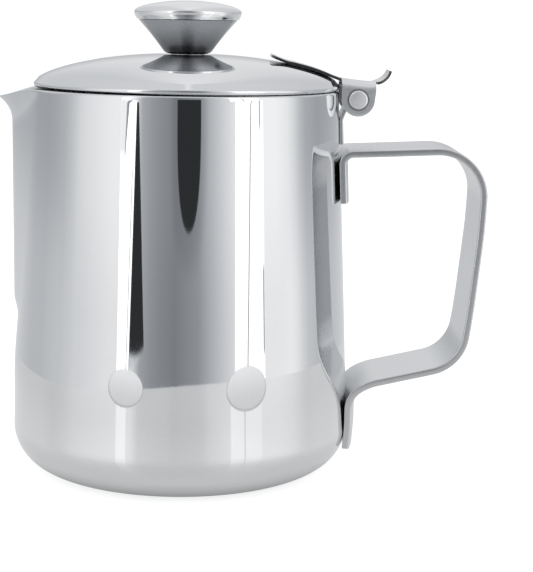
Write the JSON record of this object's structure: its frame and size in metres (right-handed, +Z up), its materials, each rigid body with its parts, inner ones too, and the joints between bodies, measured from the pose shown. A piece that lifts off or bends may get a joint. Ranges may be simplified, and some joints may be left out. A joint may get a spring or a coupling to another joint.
{
  "type": "stainless steel milk frothing jug with hinged lid",
  "caption": "Tapered steel frothing jug with a folded pouring spout, bent strip handle and a domed lid that swings on a riveted hinge with a thumb lever and a flared knob.",
  "frame": {"origin": "centre of the flat base, on the jug's own axis, at the surface it stands on", "axes": "+Z up, -X towards the spout, +X towards the hinge and handle, Y across"},
  "size_m": [0.149, 0.105, 0.1437],
  "materials": {
    "polished_steel": "mirror polished stainless steel",
    "satin_steel": "satin stainless steel with softened edges",
    "knob_steel": "fine turned and polished stainless steel",
    "rivet_steel": "bright stainless steel"
  },
  "bodies": {
    "jug": {"jug_body": "polished_steel", "handle": "satin_steel", "hinge_bracket": "satin_steel"},
    "lid": {"lid_dome": "polished_steel", "lid_strap": "satin_steel", "hinge_pin": "rivet_steel", "knob_washer": "rivet_steel", "knob_cone": "knob_steel", "knob_cap": "knob_steel", "knob_insert": "rivet_steel", "knob_lock_washer": "rivet_steel", "knob_screw": "rivet_steel"}
  },
  "joints": [
    {"name": "lid_hinge", "type": "hinge", "parent": "jug", "child": "lid", "pos_m": [0.0532, 0, 0.1149], "axis": [0, 1, 0], "range_deg": [0, 140]}
  ]
}
